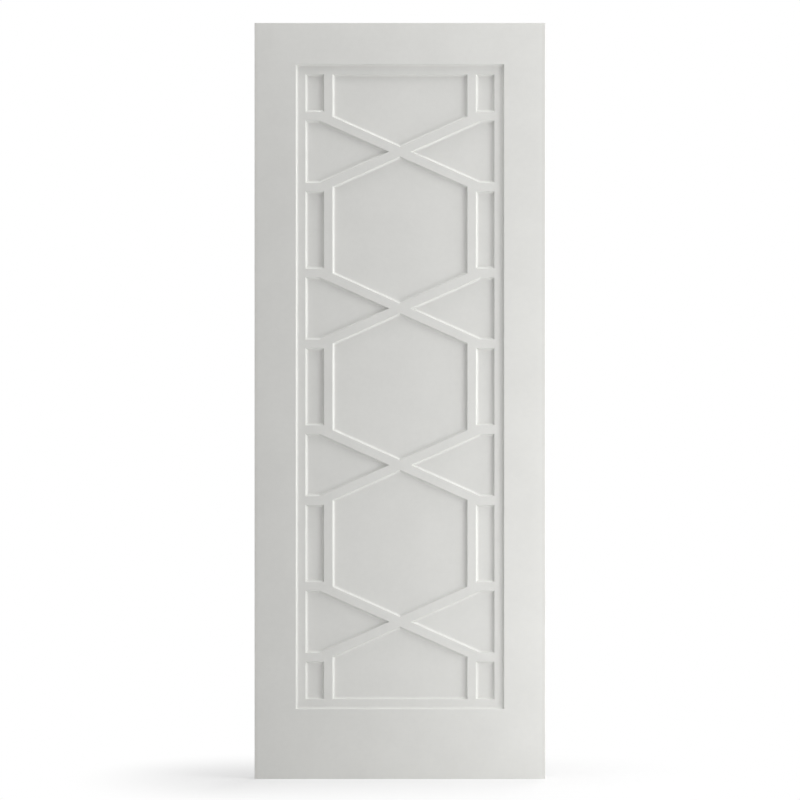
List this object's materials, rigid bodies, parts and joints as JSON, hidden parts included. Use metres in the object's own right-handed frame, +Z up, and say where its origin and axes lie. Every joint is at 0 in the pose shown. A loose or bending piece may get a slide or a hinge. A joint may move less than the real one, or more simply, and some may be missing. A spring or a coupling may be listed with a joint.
{
  "type": "interior door leaf",
  "caption": "Primed white interior door leaf: stiles and rails round one long panel, with a planted geometric lattice of crossed braces on both faces.",
  "frame": {"origin": "on the face of the hinge edge, at the foot of the leaf and in the middle of its thickness", "axes": "+X from the hinge edge to the lock edge, +Y from the front face to the back face through the thickness, +Z up the leaf; the front faces -Y"},
  "size_m": [0.762, 0.035, 1.981],
  "materials": {
    "stile_primer": "smooth white primer on a joined stile, satin-matt, with faint roller stipple",
    "rail_primer": "smooth white primer on a rail, satin-matt, with faint roller stipple",
    "panel_primer": "smooth white primer on a flat board, satin-matt",
    "moulding_primer": "smooth white primer on machined moulding, satin-matt",
    "edge_primer": "white primer on planed solid lipping, a little grain showing through"
  },
  "bodies": {
    "root": {"back_border_bottom": "moulding_primer", "back_border_hinge_side": "moulding_primer", "back_border_lock_side": "moulding_primer", "back_border_top": "moulding_primer", "back_falling_brace_1": "moulding_primer", "back_falling_brace_2": "moulding_primer", "back_falling_brace_3": "moulding_primer", "back_falling_brace_4": "moulding_primer", "back_hinge_side_spacers": "moulding_primer", "back_hinge_side_uprights": "moulding_primer", "back_lock_side_spacers": "moulding_primer", "back_lock_side_uprights": "moulding_primer", "back_rising_brace_1": "moulding_primer", "back_rising_brace_2": "moulding_primer", "back_rising_brace_3": "moulding_primer", "back_rising_brace_4": "moulding_primer", "bottom_rail": "rail_primer", "centre_panel": "panel_primer", "front_border_bottom": "moulding_primer", "front_border_hinge_side": "moulding_primer", "front_border_lock_side": "moulding_primer", "front_border_top": "moulding_primer", "front_falling_brace_1": "moulding_primer", "front_falling_brace_2": "moulding_primer", "front_falling_brace_3": "moulding_primer", "front_falling_brace_4": "moulding_primer", "front_hinge_side_spacers": "moulding_primer", "front_hinge_side_uprights": "moulding_primer", "front_lock_side_spacers": "moulding_primer", "front_lock_side_uprights": "moulding_primer", "front_rising_brace_1": "moulding_primer", "front_rising_brace_2": "moulding_primer", "front_rising_brace_3": "moulding_primer", "front_rising_brace_4": "moulding_primer", "hinge_edge_lipping": "edge_primer", "hinge_stile": "stile_primer", "lock_edge_lipping": "edge_primer", "lock_stile": "stile_primer", "top_rail": "rail_primer"}
  },
  "joints": []
}
